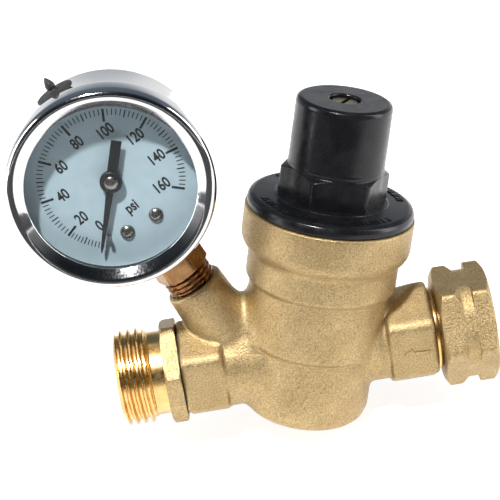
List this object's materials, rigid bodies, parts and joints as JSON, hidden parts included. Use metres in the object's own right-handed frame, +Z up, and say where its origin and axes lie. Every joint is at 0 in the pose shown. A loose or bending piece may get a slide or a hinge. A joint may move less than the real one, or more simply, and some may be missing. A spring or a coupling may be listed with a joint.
{
  "type": "water pressure regulator",
  "caption": "Adjustable inline brass water pressure regulator with a slanted spring chamber, a dial pressure gauge, a male hose outlet and a swivel-nut hose inlet.",
  "frame": {"origin": "centre of the outlet's end face, on the pipe line, at the mouth of the male hose thread", "axes": "+X runs up the pipe line from the outlet to the inlet nut, +Z is up through the spring chamber, and the gauge dial faces -Y"},
  "size_m": [0.1242, 0.0468, 0.1133],
  "materials": {
    "forged_brass": "shot blasted",
    "machined_brass": "turned and bright",
    "movement_brass": "rolled sheet",
    "black_plastic": "moulded gloss",
    "polished_steel": "polished",
    "steel": "bright",
    "spring_steel": "drawn wire",
    "black_rubber": "matt",
    "dial_enamel": "satin",
    "pointer_black": "satin",
    "window": "clear"
  },
  "bodies": {
    "regulator": {"regulator_body": "forged_brass", "outlet_adapter": "machined_brass", "inlet_tailpiece": "machined_brass", "gauge_socket": "machined_brass", "seat_ring": "machined_brass", "slip_ring": "machined_brass", "movement_back_plate": "movement_brass", "movement_front_plate": "movement_brass", "movement_pillars": "movement_brass", "bourdon_tube": "movement_brass", "bonnet": "black_plastic", "gauge_bezel": "polished_steel", "gauge_case": "polished_steel", "thrust_washer": "steel", "dial_screws": "steel", "zero_stop_pin": "steel", "filter_screen": "steel", "main_spring": "spring_steel", "closing_spring": "spring_steel", "hairspring": "spring_steel", "outlet_washer": "black_rubber", "tailpiece_o_ring": "black_rubber", "hose_washer": "black_rubber", "diaphragm": "black_rubber", "seat_washer": "black_rubber", "window_gasket": "black_rubber", "fill_plug": "black_rubber", "case_seal": "black_rubber", "dial_face": "dial_enamel", "gauge_window": "window"},
    "nut": {"swivel_nut": "forged_brass"},
    "spindle": {"adjusting_spindle": "machined_brass"},
    "spring_carrier": {"spring_nut": "machined_brass"},
    "valve": {"valve_stem": "machined_brass", "spring_plate": "steel", "stem_nut": "machined_brass", "disc_holder": "machined_brass", "valve_disc": "black_rubber", "disc_nut": "machined_brass"},
    "needle": {"pointer": "pointer_black", "pointer_cap": "steel", "pinion_shaft": "movement_brass"},
    "sector": {"sector_gear": "movement_brass"},
    "connecting_link": {"link": "movement_brass"}
  },
  "joints": [
    {"name": "nut_swivel", "type": "hinge", "parent": "regulator", "child": "nut", "pos_m": [0.098, 0, 0], "axis": [1, 0, 0], "continuous": true},
    {"name": "adjuster_turn", "type": "hinge", "parent": "regulator", "child": "spindle", "pos_m": [0.0545, 0, 0], "axis": [0.2588, 0, 0.9659], "range_deg": [-1080, 1080]},
    {"name": "spring_nut_travel", "type": "slide", "parent": "regulator", "child": "spring_carrier", "axis": [0.2588, 0, 0.9659], "range_m": [-0.0038, 0.0038], "deforming": ["main_spring"]},
    {"name": "valve_travel", "type": "slide", "parent": "regulator", "child": "valve", "axis": [0.2588, 0, 0.9659], "range_m": [0, 0.0017], "stiffness_N_per_m": 20000, "springref_m": -0.002, "deforming": ["diaphragm", "closing_spring", "main_spring"]},
    {"name": "sector_turn", "type": "hinge", "parent": "regulator", "child": "sector", "pos_m": [0.02094, 0, 0.06236], "axis": [0, -1, 0], "range_deg": [0, 30], "deforming": ["bourdon_tube", "hairspring"]},
    {"name": "pointer_turn", "type": "hinge", "parent": "regulator", "child": "needle", "pos_m": [0.00894, 0, 0.06282], "axis": [0, 1, 0], "range_deg": [0, 270]},
    {"name": "link_swing", "type": "hinge", "parent": "sector", "child": "connecting_link", "pos_m": [0.02523, 0, 0.06103], "axis": [0, -1, 0], "range_deg": [-30, 0]}
  ],
  "couplings": [
    {"joint": "spring_nut_travel", "follows": "adjuster_turn", "m_per_rad": 0.00019894},
    {"joint": "pointer_turn", "follows": "sector_turn", "ratio": 9},
    {"joint": "link_swing", "follows": "sector_turn", "ratio": -1}
  ]
}
